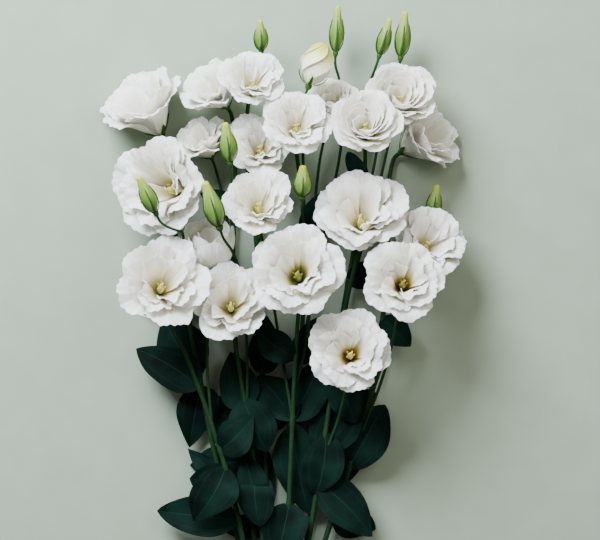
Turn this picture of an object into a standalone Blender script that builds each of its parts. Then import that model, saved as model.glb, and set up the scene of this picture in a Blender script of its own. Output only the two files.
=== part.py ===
"""A cut bunch of double white lisianthus, laid down: leafy stems with their blooms and buds.

Metres, +Z up. The bunch lies along +Y with its cut ends at -Y, on the plane z = 0.
The origin is under the middle of the bunch. +X is the bunch's right as seen from above.
"""

import math
import random

import bmesh
import bpy
from mathutils import Matrix, Quaternion, Vector
from mathutils.geometry import delaunay_2d_cdt

MM = 0.001

# Gap kept between pieces that touch on the real plant.
SEAT_GAP = 0.3 * MM

# Stems.
STEM_RADIUS = 2.6 * MM
STEM_TOP_RADIUS = 1.7 * MM
STALK_RADIUS = 1.35 * MM
STALK_TOP_RADIUS = 1.15 * MM
STEM_SIDES = 6
STALK_SIDES = 5
FOOT_Y = -300 * MM
FOOT_RUN = 45 * MM
FOOT_PITCH = 2 * STEM_RADIUS + SEAT_GAP
FOOT_LOW_Z = STEM_RADIUS * math.cos(math.pi / 6)
FOOT_HIGH_Z = 6.9 * MM

# The last stretch of a stalk, in line with its flower, and how far it is sunk into the calyx.
STRAIGHT_END = 12 * MM
STALK_SUNK = 2 * MM

# Calyx: a small cup under each bloom or bud, with five narrow pointed sepals.
CALYX_DEPTH = 4.5 * MM
CALYX_FOOT_RADIUS = 0.7 * MM
CALYX_WALL = 1.2 * MM
SEPALS = 5
SEPAL_HALF_ANGLE = math.radians(15)
BLOOM_CALYX = (4.6, 8.5, 16.0)
OPENING_CALYX = (5.0, 9.0, 14.0)

# Petals.
BLOOM_SPAN = 76 * MM
PETAL_THICKNESS = 0.75 * MM
TUBE_SIDES = 8
# In mm at a span of 76 mm.
TUBE_RADIUS = 3.4
TUBE_WALL = 1.6
TUBE_HEIGHT = 12
IMBRICATION = 2.4
RUFFLE = 2.6
# Share of the ruffle that is lost at a petal's two edges, where its neighbours lie close.
EDGE_CALM = 0.65
# How far a petal may stand off its even place round the tube, in radians.
HEADING_PLAY = 0.02

# Leaves.
LEAF_THICKNESS = 0.8 * MM
LEAF_FOLD = 0.22
LEAF_DROOP = 0.25

# Profiles of the petals' middle line, as (radius, height) in mm at a span of 76 mm: root at the tube's mouth,
# control and rim of a quadratic curve. Each whorl is (count, root, control, rim, half angle in degrees).
FORMS = {
    "open": (
        (5, (7.5, 12), (16, 32), (37.5, 36), 42),
        (4, (4.8, 12), (8, 30), (24, 41), 50),
    ),
    "rose": (
        (5, (7.5, 12), (18, 28), (37, 34), 43),
        (5, (4.8, 12), (9, 28), (23, 42), 42),
    ),
    "cup": (
        (5, (7.5, 12), (20, 26), (38, 36), 42),
        (4, (4.8, 12), (12, 24), (24, 38), 48),
    ),
    "trumpet": (
        (5, (7.0, 12), (12, 34), (36, 42), 42),
        (4, (4.6, 12), (7, 32), (25, 46), 50),
    ),
    "half_open": (
        (5, (7.5, 12), (22, 22), (21, 44), 44),
        (3, (4.8, 12), (14, 22), (11, 44), 62),
    ),
}

# Height of the rim's middle above the bloom's foot, at a span of 76 mm.
RIM_HEIGHT = {"open": 36, "rose": 35, "cup": 35, "trumpet": 41, "half_open": 40}

# Each bloom: middle of its rim in mm, the way it faces, span in mm, turn in degrees, form.
BLOOMS = {
    "bloom_01": ((-125, 222, 30.62), (-0.45, 0.75, 0.48), 80, 20, "trumpet"),
    "bloom_02": ((-62.5, 233, 43), (-0.45, 0.65, 0.60), 58, 50, "trumpet"),
    "bloom_03": ((-25, 237, 66), (0.10, 0.55, 0.83), 58, 5, "open"),
    "bloom_04": ((13, 199, 79), (0.05, 0.45, 0.90), 63, 33, "open"),
    "bloom_05": ((44, 221, 44), (0.05, 0.70, 0.70), 50, 12, "rose"),
    "bloom_06": ((71, 199, 84), (0.00, 0.45, 0.88), 64, 40, "rose"),
    "bloom_07": ((103, 224, 56), (0.15, 0.50, 0.84), 66, 18, "rose"),
    "bloom_08": ((132, 193, 28), (0.70, 0.48, 0.50), 72, 60, "trumpet"),
    "bloom_09": ((-70, 188, 29), (-0.32, 0.74, 0.57), 53.5, 8, "cup"),
    "bloom_10": ((-19, 181, 47), (0.00, 0.45, 0.88), 60, 26, "open"),
    "bloom_11": ((-109, 142, 66), (-0.50, 0.08, 0.86), 90, 44, "open"),
    "bloom_12": ((-20, 131, 80), (0.00, 0.45, 0.89), 62, 15, "cup"),
    "bloom_13": ((-63, 104, 58), (-0.06, 0.80, 0.60), 73, 27, "half_open"),
    "bloom_14": ((66, 125, 69), (-0.05, 0.48, 0.87), 84, 57, "open"),
    "bloom_15": ((129, 99, 52), (0.32, 0.40, 0.86), 68, 10, "open"),
    "bloom_16": ((103.5, 65, 93), (0.04, 0.30, 0.95), 72, 36, "open"),
    "bloom_17": ((11, 73, 98), (-0.10, 0.28, 0.95), 82, 22, "open"),
    "bloom_18": ((-101, 63, 84), (0.10, 0.32, 0.94), 78, 50, "cup"),
    "bloom_19": ((-44, 45, 72), (0.00, 0.28, 0.96), 72, 65, "cup"),
    "bloom_20": ((58, 3, 92), (0.00, 0.20, 0.98), 74, 28, "open"),
}

# The one bud that has begun to open: foot and tip in mm, and its widest radius.
OPENING_BUD = ((23, 229, 58), (36, 265, 66), 13)

# Green buds: foot and tip in mm, and the widest radius.
BUDS = {
    "bud_01": ((-18, 260, 34), (-19, 286, 42), 5.8),
    "bud_02": ((46, 259, 28), (48, 299, 34), 6.0),
    "bud_03": ((84, 257, 26), (93, 288, 32), 5.6),
    "bud_04": ((102, 255, 30), (106, 294, 36), 6.4),
    "bud_05": ((-44, 163, 76), (-48, 196, 86), 7.2),
    "bud_06": ((-107, 120, 87), (-121, 150, 98), 6.6),
    "bud_07": ((-53, 108, 88), (-65, 146, 98), 8.0),
    "bud_08": ((17, 134, 66), (18, 160, 76), 7.4),
    "bud_09": ((129, 116, 16), (134, 145, 22), 6.4),
}

# Each stem: its column and layer in the foot, the points of its own way up in mm, the flower it ends in, and
# its side stalks as (share of the way where the stalk leaves, points in mm, flower).
STEMS = {
    "stem_01": (
        (-2.5, 0),
        ((-36, -170, 11), (-57, -99, 15), (-80, 20, 20), (-94, 110, 14)),
        "bloom_01",
        (
            (0.66, ((-86, 90, 12),), "bloom_11"),
            (0.60, ((-86, 78, 46), (-83, 103, 68), (-88, 104, 84)), "bud_06"),
        ),
    ),
    "stem_02": (
        (-2.0, 1),
        ((-30, -180, 20), (-48, -99, 28), (-80, -6, 34)),
        "bloom_18",
        ((0.66, ((-66, 0, 33), (-61, 38, 31)), "bloom_13"),),
    ),
    "stem_03": (
        (-1.5, 0),
        ((-24, -170, 10), (-36, -60, 14), (-44, 60, 12), (-40, 150, 9)),
        "bloom_02",
        (
            (0.72, ((-48, 120, 9),), "bloom_09"),
            (0.60, ((-42, 80, 22), (-44, 125, 44)), "bud_05"),
        ),
    ),
    "stem_04": (
        (-0.5, 0),
        ((-12, -170, 9), (-18, 0, 11), (-22, 100, 9), (-34, 180, 18)),
        "bloom_03",
        (
            (0.66, ((-20, 120, 6),), "bloom_10"),
            (0.74, ((-8, 160, 10), (-8, 210, 18), (-14, 240, 26)), "bud_01"),
        ),
    ),
    "stem_05": (
        (-1.0, 1),
        ((-16, -170, 18), (-26, -80, 24), (-38, -10, 26)),
        "bloom_19",
        ((0.72, ((-30, 10, 28), (-34, 62, 40), (-41, 86, 60)), "bud_07"),),
    ),
    "stem_06": (
        (0.0, 1),
        ((4, -170, 20), (8, -80, 30), (12, 10, 40)),
        "bloom_17",
        (
            (0.66, ((-4, 20, 28), (-14, 80, 24)), "bloom_12"),
            (0.72, ((24, 20, 30), (24, 80, 34), (18, 115, 48)), "bud_08"),
        ),
    ),
    "stem_07": (
        (0.5, 0),
        ((6, -170, 9), (16, 0, 12), (22, 100, 14), (14, 160, 26)),
        "bloom_04",
        (
            (0.66, ((28, 130, 10), (34, 180, 10)), "bloom_05"),
            (0.74, ((18, 170, 22), (17, 196, 32)), "opening_bud"),
            (0.60, ((40, 120, 6), (54, 190, 10), (50, 235, 20)), "bud_02"),
        ),
    ),
    "stem_08": (
        (1.0, 1),
        ((22, -170, 18), (36, -80, 26), (50, 20, 24)),
        "bloom_14",
        ((0.50, ((48, -60, 32), (55, -30, 38)), "bloom_20"),),
    ),
    "stem_09": (
        (1.5, 0),
        ((20, -170, 9), (46, 0, 12), (64, 100, 12), (72, 150, 18)),
        "bloom_06",
        (
            (0.66, ((78, 120, 7), (90, 170, 8)), "bloom_07"),
            (0.74, ((74, 180, 10), (72, 225, 12)), "bud_03"),
            (0.70, ((80, 160, 12), (86, 205, 10), (98, 238, 20)), "bud_04"),
        ),
    ),
    "stem_10": (
        (2.5, 0),
        ((34, -170, 10), (59, -99, 14), (84, -10, 17), (92, 90, 10), (92, 145, 7)),
        "bloom_08",
        (
            (0.50, ((100, 30, 10),), "bloom_15"),
            (0.46, ((92, -10, 30),), "bloom_16"),
            (0.55, ((108, 60, 6), (118, 90, 8)), "bud_09"),
        ),
    ),
}

# Leaves, by stem: where they clasp it (mm along the bunch), heading in degrees from +Y towards +X, how far they
# rise above the stem, length and width, all in mm.
LEAVES = {
    "stem_01": (
        (-115, -40, -2, 40, 16),
        (-30, -166, -3, 50, 28),
        (-30, 168, -6, 36, 24),
        (-21, -40, -6, 56, 42),
        (50, -95, -6, 40, 26),
        (66, -60, 4, 34, 18),
    ),
    "stem_02": (
        (-145, -84, -2, 66, 30),
        (-100, -160, 12, 48, 34),
        (-84, 55, 7, 38, 28),
        (-30, -48, -8, 58, 32),
    ),
    "stem_03": (
        (-119, -80, 7, 48, 34),
        (-95, -95, -7, 45, 28),
        (-75, -35, -7, 48, 30),
        (20, -60, 4, 38, 24),
        (125, -60, 8, 30, 16),
    ),
    "stem_04": (
        (-150, -100, -4.8, 40, 20),
        (-125, -25, -4, 46, 26),
        (-70, 14, -4, 48, 28),
        (-18, 8, 6, 46, 24),
    ),
    "stem_05": (
        (-130, -20, 8, 42, 24),
        (-105, -175, 8, 42, 30),
        (-48, -22, -5, 46, 30),
        (-40, 165, 6, 46, 34),
    ),
    "stem_06": (
        (-131, 190, 3, 44, 34),
        (-62, 175, -12, 74, 36),
        (-58, -30, -12, 44, 30),
        (-58, 28, -10, 50, 32),
        (-5, -60, 6, 36, 24),
    ),
    "stem_07": (
        (-120, 5, -5, 46, 26),
        (-62, 20, -5, 48, 28),
        (-10, 20, 12, 44, 24),
        (100, 20, 6, 36, 18),
    ),
    "stem_08": (
        (-112, 125, 2, 61, 32),
        (-84, 25, -6, 58, 36),
        (-70, 178, 4, 48, 32),
        (-20, 150, 4, 42, 26),
    ),
    "stem_09": (
        (-110, 60, -5.5, 42, 28),
        (-60, 50, -5.5, 46, 30),
        (60, 60, 4, 36, 20),
        (144, -22, 7, 30, 14),
    ),
    "stem_10": (
        (-140, 120, -6, 36, 26),
        (-100, 28, 4, 58, 34),
        (30, 140, 8, 32, 22),
    ),
}

PETAL_COLOUR = (0.84, 0.85, 0.82)
STEM_COLOUR = (0.018, 0.052, 0.030)
BUD_COLOUR = (0.30, 0.45, 0.14)
PISTIL_COLOUR = (0.42, 0.42, 0.07)


def clear_scene():
    for obj in list(bpy.data.objects):
        bpy.data.objects.remove(obj)


def make_material(name, colour, roughness):
    material = bpy.data.materials.new(name)
    material.use_nodes = True
    shader = material.node_tree.nodes["Principled BSDF"]
    shader.inputs["Base Color"].default_value = (*colour, 1.0)
    shader.inputs["Roughness"].default_value = roughness
    shader.inputs["Metallic"].default_value = 0.0
    return material


def mm(point):
    return Vector(point) * MM


def new_object(name, mesh_data):
    obj = bpy.data.objects.new(name, mesh_data)
    bpy.context.scene.collection.objects.link(obj)
    return obj


def mesh_from(name, points, faces):
    mesh = bpy.data.meshes.new(name)
    mesh.from_pydata([tuple(p) for p in points], [], faces)
    mesh.update()
    return mesh


def zip_rows(first, second):
    """Triangles between two rows of point numbers that may differ in length."""
    faces = []
    i = 0
    j = 0
    while i < len(first) - 1 or j < len(second) - 1:
        next_i = (i + 1) / max(len(first) - 1, 1)
        next_j = (j + 1) / max(len(second) - 1, 1)
        if j == len(second) - 1 or (i < len(first) - 1 and next_i <= next_j):
            faces.append((first[i], first[i + 1], second[j]))
            i += 1
        else:
            faces.append((first[i], second[j + 1], second[j]))
            j += 1
    return faces


def add_blade(bm, rows, thickness, root_height=None):
    """Adds a thin sheet from rows of points, closed round its rim. Both faces are split into like triangles.

    With a root height, its root lies in that level and stays open. The root's four corners are returned.
    """
    numbers = []
    points = []
    for row in rows:
        numbers.append(list(range(len(points), len(points) + len(row))))
        points.extend(row)
    front = []
    for first, second in zip(numbers, numbers[1:]):
        front.extend(zip_rows(first, second))
    normals = [Vector((0, 0, 0)) for _ in points]
    for a, b, c in front:
        normal = (points[b] - points[a]).cross(points[c] - points[a])
        for corner in (a, b, c):
            normals[corner] += normal
    if root_height is not None:
        for k in numbers[0]:
            normals[k].z = 0
    tops = [bm.verts.new(p + n.normalized() * thickness / 2) for p, n in zip(points, normals)]
    bottoms = [bm.verts.new(p - n.normalized() * thickness / 2) for p, n in zip(points, normals)]
    for a, b, c in front:
        bm.faces.new((tops[a], tops[b], tops[c]))
        bm.faces.new((bottoms[a], bottoms[c], bottoms[b]))
    rim = [numbers[0][-1]]
    rim += [row[-1] for row in numbers[1:]]
    rim += list(reversed(numbers[-1]))[1:]
    rim += [row[0] for row in reversed(numbers[:-1])]
    if root_height is None:
        rim += numbers[0][1:]
    for a, b in zip(rim, rim[1:]):
        bm.faces.new((tops[b], tops[a], bottoms[a]))
        bm.faces.new((tops[b], bottoms[a], bottoms[b]))
    first, last = numbers[0][0], numbers[0][-1]
    return [tops[first], tops[last], bottoms[last], bottoms[first]]


def mesh_of(bm, name):
    mesh = bpy.data.meshes.new(name)
    bmesh.ops.recalc_face_normals(bm, faces=bm.faces[:])
    bm.to_mesh(mesh)
    bm.free()
    return mesh


def path_lengths(path):
    lengths = [0.0]
    for a, b in zip(path, path[1:]):
        lengths.append(lengths[-1] + (b - a).length)
    return lengths


def where_path_reaches(path, y):
    """The point where a path that runs up the bunch reaches a given distance along it."""
    for a, b in zip(path, path[1:]):
        if a.y <= y <= b.y:
            return a.lerp(b, (y - a.y) / (b.y - a.y))
    return path[-1].copy()


def along_path(path, share):
    """The point at a share of the path's length."""
    lengths = path_lengths(path)
    target = share * lengths[-1]
    for i, (a, b) in enumerate(zip(path, path[1:])):
        if lengths[i + 1] >= target:
            return a.lerp(b, (target - lengths[i]) / (lengths[i + 1] - lengths[i]))
    return path[-1].copy()


def tube(name, path, radius, top_radius, sides):
    """A closed tapering rod along a path. At a start along +Y its lowest side is flat when it has six sides."""
    lengths = path_lengths(path)
    points = []
    side = Vector((1, 0, 0))
    for i, centre in enumerate(path):
        ahead = path[min(i + 1, len(path) - 1)] - path[max(i - 1, 0)]
        ahead.normalize()
        side = (side - ahead * side.dot(ahead)).normalized()
        up = side.cross(ahead)
        r = radius + (top_radius - radius) * lengths[i] / lengths[-1]
        for k in range(sides):
            angle = 2 * math.pi * k / sides
            points.append(centre + r * (side * math.cos(angle) + up * math.sin(angle)))
    faces = [tuple(range(sides)), tuple(reversed(range(len(points) - sides, len(points))))]
    for ring in range(len(path) - 1):
        for k in range(sides):
            a = ring * sides + k
            b = ring * sides + (k + 1) % sides
            faces.append((a, a + sides, b + sides, b))
    return mesh_from(name, points, faces)


def turned(name, profile, sides, twist=0.0, ridge=0.0):
    """A closed solid turned from (radius, height) pairs. Odd sides stand back by ridge, and it may twist."""
    points = []
    bottom = profile[0][1]
    rise = profile[-1][1] - bottom
    for radius, height in profile:
        for k in range(sides):
            angle = 2 * math.pi * k / sides + twist * (height - bottom) / rise
            r = radius * (1 - ridge * (k % 2))
            points.append(Vector((r * math.cos(angle), r * math.sin(angle), height)))
    faces = [tuple(reversed(range(sides))), tuple(range(len(points) - sides, len(points)))]
    for ring in range(len(profile) - 1):
        for k in range(sides):
            a = ring * sides + k
            b = ring * sides + (k + 1) % sides
            faces.append((a, b, b + sides))
            faces.append((a, b + sides, a + sides))
    return mesh_from(name, points, faces)


def fuse(name, meshes, material):
    """One closed solid from overlapping closed meshes, by a Boolean union on a collection."""
    first, *rest = meshes
    obj = new_object(name, first)
    helpers = bpy.data.collections.new(name + "_pieces")
    bpy.context.scene.collection.children.link(helpers)
    for number, mesh in enumerate(rest):
        helpers.objects.link(bpy.data.objects.new(f"{name}_piece_{number}", mesh))
    union = obj.modifiers.new("union", "BOOLEAN")
    union.operation = "UNION"
    union.operand_type = "COLLECTION"
    union.collection = helpers
    union.solver = "EXACT"
    graph = bpy.context.evaluated_depsgraph_get()
    fused = bpy.data.meshes.new_from_object(obj.evaluated_get(graph))
    obj.modifiers.clear()
    obj.data = fused
    for helper in list(helpers.objects):
        bpy.data.objects.remove(helper)
    bpy.data.collections.remove(helpers)
    fused.name = name
    fused.materials.clear()
    fused.materials.append(material)
    return obj


def facing(direction, spin):
    """The turn that takes +Z to a direction, after a spin in degrees about it."""
    return Vector(direction).to_track_quat("Z", "Y") @ Quaternion((0, 0, 1), math.radians(spin))


def profile_at(root, control, rim, t):
    """Point and inward normal of a petal's middle line, as (radius, height)."""
    a, b, c = Vector(root), Vector(control), Vector(rim)
    point = a * (1 - t) ** 2 + b * 2 * t * (1 - t) + c * t**2
    run = (b - a) * (1 - t) + (c - b) * t
    normal = Vector((-run.y, run.x)).normalized()
    return point, normal


# Rows of a petal, from root to rim: share of its length and how many points lie across it.
PETAL_ROWS = ((0.0, 2), (0.5, 3), (1.0, 5))
RIM_ROUNDING = 0.13
ROOT_SHARE = 0.62


def petal_rows(whorl, scale, heading, dice):
    """Middle points of a petal that widens from its root, overlaps its neighbour with one edge, and waves."""
    _, root, control, rim, half_angle = whorl
    wave = dice.uniform(0.7, 1.0) * dice.choice((-1, 1))
    reach = dice.uniform(0.95, 1.03)
    rows = []
    for t, across in PETAL_ROWS:
        row = []
        for k in range(across):
            s = 2 * k / (across - 1) - 1
            share = t * reach * (1 - RIM_ROUNDING * s * s * t)
            (radius, height), normal = profile_at(root, control, rim, share)
            ruffle = RUFFLE * wave * t**3 * math.cos(2 * math.pi * s) * (1 - EDGE_CALM * s * s)
            lift = ruffle - IMBRICATION * s * t
            radius += lift * normal.x
            height += lift * normal.y
            angle = heading + math.radians(half_angle) * s * (ROOT_SHARE + (1 - ROOT_SHARE) * t)
            row.append(Vector((radius * math.cos(angle), radius * math.sin(angle), height)) * scale)
        rows.append(row)
    return rows


def add_tube(bm, mouth, scale):
    """The short solid cup that all petals grow from, still open at its mouth. Returns the mouth's corners."""
    rings = []
    for radius, height in ((TUBE_RADIUS, 0.0), (mouth, TUBE_HEIGHT)):
        ring = []
        for k in range(TUBE_SIDES):
            angle = 2 * math.pi * k / TUBE_SIDES
            place = Vector((radius * math.cos(angle), radius * math.sin(angle), height))
            ring.append(bm.verts.new(place * scale))
        rings.append(ring)
    bm.faces.new(reversed(rings[0]))
    for k in range(TUBE_SIDES):
        after = (k + 1) % TUBE_SIDES
        bm.faces.new((rings[0][k], rings[0][after], rings[1][after], rings[1][k]))
    return rings[1]


def fill_mouth(bm, mouth, roots):
    """Closes the tube's mouth with triangles between its rim and the petals' roots."""
    corners = list(mouth)
    loops = [list(range(len(mouth)))]
    for root in roots:
        loops.append(list(range(len(corners), len(corners) + len(root))))
        corners.extend(root)
    edges = [(a, b) for loop in loops for a, b in zip(loop, loop[1:] + loop[:1])]
    flat = [corner.co.xy for corner in corners]
    _, _, faces, origins, _, _ = delaunay_2d_cdt(flat, edges, [], 0, 1e-5)
    for face in faces:
        numbers = [origins[k][0] for k in face]
        if not any(set(numbers) <= set(loop) for loop in loops[1:]):
            bm.faces.new([corners[k] for k in numbers])


def make_bloom(name, place, direction, span, spin, form, material):
    """One bloom. Its petals stand on the mouth of the tube, which is filled in between their roots.

    It is built in millimetres and then scaled, because the fill needs points that lie well apart.
    """
    dice = random.Random(name)
    scale = span * MM / BLOOM_SPAN
    whorls = FORMS[form]
    bm = bmesh.new()
    mouth = add_tube(bm, whorls[0][1][0] + TUBE_WALL, scale)
    roots = []
    for level, whorl in enumerate(whorls):
        count = whorl[0]
        for k in range(count):
            heading = 2 * math.pi * (k + 0.5 * level) / count + dice.uniform(-HEADING_PLAY, HEADING_PLAY)
            rows = petal_rows(whorl, scale, heading, dice)
            roots.append(add_blade(bm, rows, PETAL_THICKNESS / MM, root_height=TUBE_HEIGHT * scale))
    fill_mouth(bm, mouth, roots)
    bmesh.ops.scale(bm, vec=(MM, MM, MM), verts=bm.verts[:])
    mesh = mesh_of(bm, name)
    mesh.materials.append(material)
    obj = new_object(name, mesh)
    turn = facing(direction, spin)
    foot = mm(place) - turn @ Vector((0, 0, RIM_HEIGHT[form] * MM * scale))
    obj.location = foot
    obj.rotation_euler = turn.to_euler()
    return obj, foot, turn, scale


# Outline of a pistil, as (radius, height) in mm: ovary, style, then the stigma's two flat lobes.
PISTIL_SIDES = 5
PISTIL_PROFILE = ((2.2, 0.0), (0.75, 9.0), (2.6, 11.5), (1.8, 13.5))
STIGMA_FROM = 10 * MM
STIGMA_FLATNESS = 0.4


def make_pistil(name, bloom, scale, material):
    """The pistil on the throat's floor."""
    floor = TUBE_HEIGHT * MM * scale + SEAT_GAP
    mesh = turned(name, [(r * MM * scale, h * MM) for r, h in PISTIL_PROFILE], PISTIL_SIDES)
    for vertex in mesh.vertices:
        if vertex.co.z > STIGMA_FROM:
            vertex.co.y *= STIGMA_FLATNESS
        vertex.co.z += floor
    mesh.materials.append(material)
    obj = new_object(name, mesh)
    obj.parent = bloom
    return obj


# Outlines of the buds, as shares of the widest radius and of the length.
BUD_PROFILE = ((0.36, 0.0), (0.84, 0.18), (1.0, 0.40), (0.60, 0.72), (0.34, 1.0))
OPENING_PROFILE = ((0.24, 0.0), (0.62, 0.15), (0.97, 0.42), (0.92, 0.66), (0.42, 0.88), (0.16, 1.0))


def make_bud(name, foot, tip, widest, outline, material, sides=10, twist=0.7, ridge=0.16):
    """A closed bud: five furled petals show as five ridges that wind up to the narrow tip."""
    run = mm(tip) - mm(foot)
    profile = [(widest * MM * r, run.length * h) for r, h in outline]
    mesh = turned(name, profile, sides, twist, ridge)
    mesh.materials.append(material)
    obj = new_object(name, mesh)
    turn = facing(run, 0)
    obj.location = mm(foot)
    obj.rotation_euler = turn.to_euler()
    return mm(foot), turn


def calyx(name, foot, turn, radius, lean, tall):
    """A cup under a flower's foot whose rim rises into pointed sepals that lean out round it."""
    points = []
    for k in range(SEPALS):
        angle = 2 * math.pi * k / SEPALS
        points.append((CALYX_FOOT_RADIUS, angle, -CALYX_DEPTH))
        for side in (-1, 1):
            points.append((radius, angle + side * SEPAL_HALF_ANGLE, -SEAT_GAP - CALYX_WALL))
            points.append((radius - CALYX_WALL / 2, angle + side * SEPAL_HALF_ANGLE, -SEAT_GAP))
        points.append((radius + lean, angle, tall))
    points = [Vector((r * math.cos(a), r * math.sin(a), h)) for r, a, h in points]
    faces = [tuple(6 * k for k in reversed(range(SEPALS)))]
    faces.append(tuple(6 * k + corner for k in range(SEPALS) for corner in (2, 4)))
    for k in range(SEPALS):
        base, low_left, top_left, low_right, top_right, tip = range(6 * k, 6 * k + 6)
        after = 6 * ((k + 1) % SEPALS)
        faces.append((base, low_right, low_left))
        faces.append((low_left, low_right, tip))
        faces.append((low_right, top_right, tip))
        faces.append((top_right, top_left, tip))
        faces.append((top_left, low_left, tip))
        faces.append((base, after, low_right))
        faces.append((after, after + 1, low_right))
        faces.append((low_right, after + 1, after + 2, top_right))
    mesh = mesh_from(name, points, faces)
    mesh.transform(Matrix.Translation(foot) @ turn.to_matrix().to_4x4())
    return mesh


# Shape of a leaf: share of its length and half width as a share of its width.
LEAF_OUTLINE = ((0.0, 0.14), (0.14, 0.36), (0.38, 0.5), (0.68, 0.37))
LEAF_LEVEL = 0.4


def leaf(name, base, heading, rise, length, width):
    """A smooth-edged, pointed-oval leaf that clasps its stem, rises to its level and arches over at the tip."""
    turn = math.radians(heading)
    out = Vector((math.sin(turn), math.cos(turn), 0))
    side = Vector((math.cos(turn), -math.sin(turn), 0))
    rows = []
    for t, half in (*LEAF_OUTLINE, (1.0, 0.0)):
        middle = base + out * length * t
        middle.z += rise * (1 - (1 - min(t / LEAF_LEVEL, 1)) ** 2)
        middle.z -= LEAF_DROOP * length * max(t - LEAF_LEVEL, 0) ** 2
        wide = side * half * width
        lift = Vector((0, 0, LEAF_FOLD * half * width))
        rows.append([middle - wide + lift, middle, middle + wide + lift] if half else [middle])
    bm = bmesh.new()
    add_blade(bm, rows, LEAF_THICKNESS)
    return mesh_of(bm, name)


def stem_path(column, layer, way, foot, turn):
    x = column * FOOT_PITCH
    z = FOOT_HIGH_Z if layer else FOOT_LOW_Z
    points = [Vector((x, FOOT_Y, z)), Vector((x, FOOT_Y + FOOT_RUN, z))]
    points += [mm(p) for p in way]
    return points + approach(foot, turn)


def approach(foot, turn):
    """The last two points of a stalk, in line with its flower."""
    ahead = turn @ Vector((0, 0, 1))
    return [foot - ahead * STRAIGHT_END, foot - ahead * (CALYX_DEPTH - STALK_SUNK)]


def make_stem(name, flowers, material):
    (column, layer), way, end, stalks = STEMS[name]
    foot, turn, sizes = flowers[end]
    path = stem_path(column, layer, way, foot, turn)
    meshes = [tube(name + "_stem", path, STEM_RADIUS, STEM_TOP_RADIUS, STEM_SIDES)]
    meshes.append(calyx(f"{name}_{end}", foot, turn, *sizes))
    for share, points, flower in stalks:
        foot, turn, sizes = flowers[flower]
        route = [along_path(path, share), *[mm(p) for p in points], *approach(foot, turn)]
        meshes.append(tube(f"{name}_{flower}", route, STALK_RADIUS, STALK_TOP_RADIUS, STALK_SIDES))
        meshes.append(calyx(f"{name}_{flower}", foot, turn, *sizes))
    for number, (y, heading, rise, length, width) in enumerate(LEAVES[name]):
        base = where_path_reaches(path, y * MM)
        meshes.append(leaf(f"{name}_leaf_{number}", base, heading, rise * MM, length * MM, width * MM))
    return fuse(name, meshes, material)


def main():
    clear_scene()
    white = make_material("petal", PETAL_COLOUR, 0.55)
    green = make_material("stem_and_leaf", STEM_COLOUR, 0.5)
    bud_green = make_material("bud", BUD_COLOUR, 0.5)
    pistil_green = make_material("pistil", PISTIL_COLOUR, 0.6)
    flowers = {}
    for name, (place, direction, span, spin, form) in BLOOMS.items():
        bloom, foot, turn, scale = make_bloom(name, place, direction, span, spin, form, white)
        flowers[name] = (foot, turn, [size * MM * scale for size in BLOOM_CALYX])
        if form != "half_open":
            make_pistil(name.replace("bloom", "pistil"), bloom, scale, pistil_green)
    foot, tip, widest = OPENING_BUD
    foot, turn = make_bud("opening_bud", foot, tip, widest, OPENING_PROFILE, white, 12, 1.4, 0.12)
    flowers["opening_bud"] = (foot, turn, [size * MM for size in OPENING_CALYX])
    for name, (foot, tip, widest) in BUDS.items():
        sizes = ((0.5 * widest + 0.8) * MM, 0.7 * widest * MM, 0.33 * (mm(tip) - mm(foot)).length)
        foot, turn = make_bud(name, foot, tip, widest, BUD_PROFILE, bud_green)
        flowers[name] = (foot, turn, sizes)
    for name in STEMS:
        make_stem(name, flowers, green)


main()
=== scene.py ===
"""The looks of a cut bunch of double white lisianthus that lies on a pale floor, seen from above.

The bunch's layout is the same as the solid model's: each bloom, bud, stem and leaf has its place, size and
turn in the tables below. Here the petals get their ruffles and full number, the buds their furled petals,
and the leaves their veins. Lengths in the tables are in mm, and everything made is in metres.
"""

import math
import random

import bpy
import numpy as np
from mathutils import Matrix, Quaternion, Vector


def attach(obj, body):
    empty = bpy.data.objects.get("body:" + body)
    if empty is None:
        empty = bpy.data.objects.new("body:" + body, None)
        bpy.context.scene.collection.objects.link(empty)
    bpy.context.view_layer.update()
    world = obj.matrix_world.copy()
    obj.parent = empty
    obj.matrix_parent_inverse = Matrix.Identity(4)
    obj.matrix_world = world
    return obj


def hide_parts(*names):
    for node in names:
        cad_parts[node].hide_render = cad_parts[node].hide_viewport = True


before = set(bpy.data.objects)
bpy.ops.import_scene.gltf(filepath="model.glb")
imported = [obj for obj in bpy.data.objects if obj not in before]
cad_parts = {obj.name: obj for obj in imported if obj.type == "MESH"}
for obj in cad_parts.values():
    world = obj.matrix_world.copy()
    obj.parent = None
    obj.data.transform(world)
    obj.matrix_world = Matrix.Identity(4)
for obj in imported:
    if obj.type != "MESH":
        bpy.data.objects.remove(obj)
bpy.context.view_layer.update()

MM = 0.001

# Layout of the bunch

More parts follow.
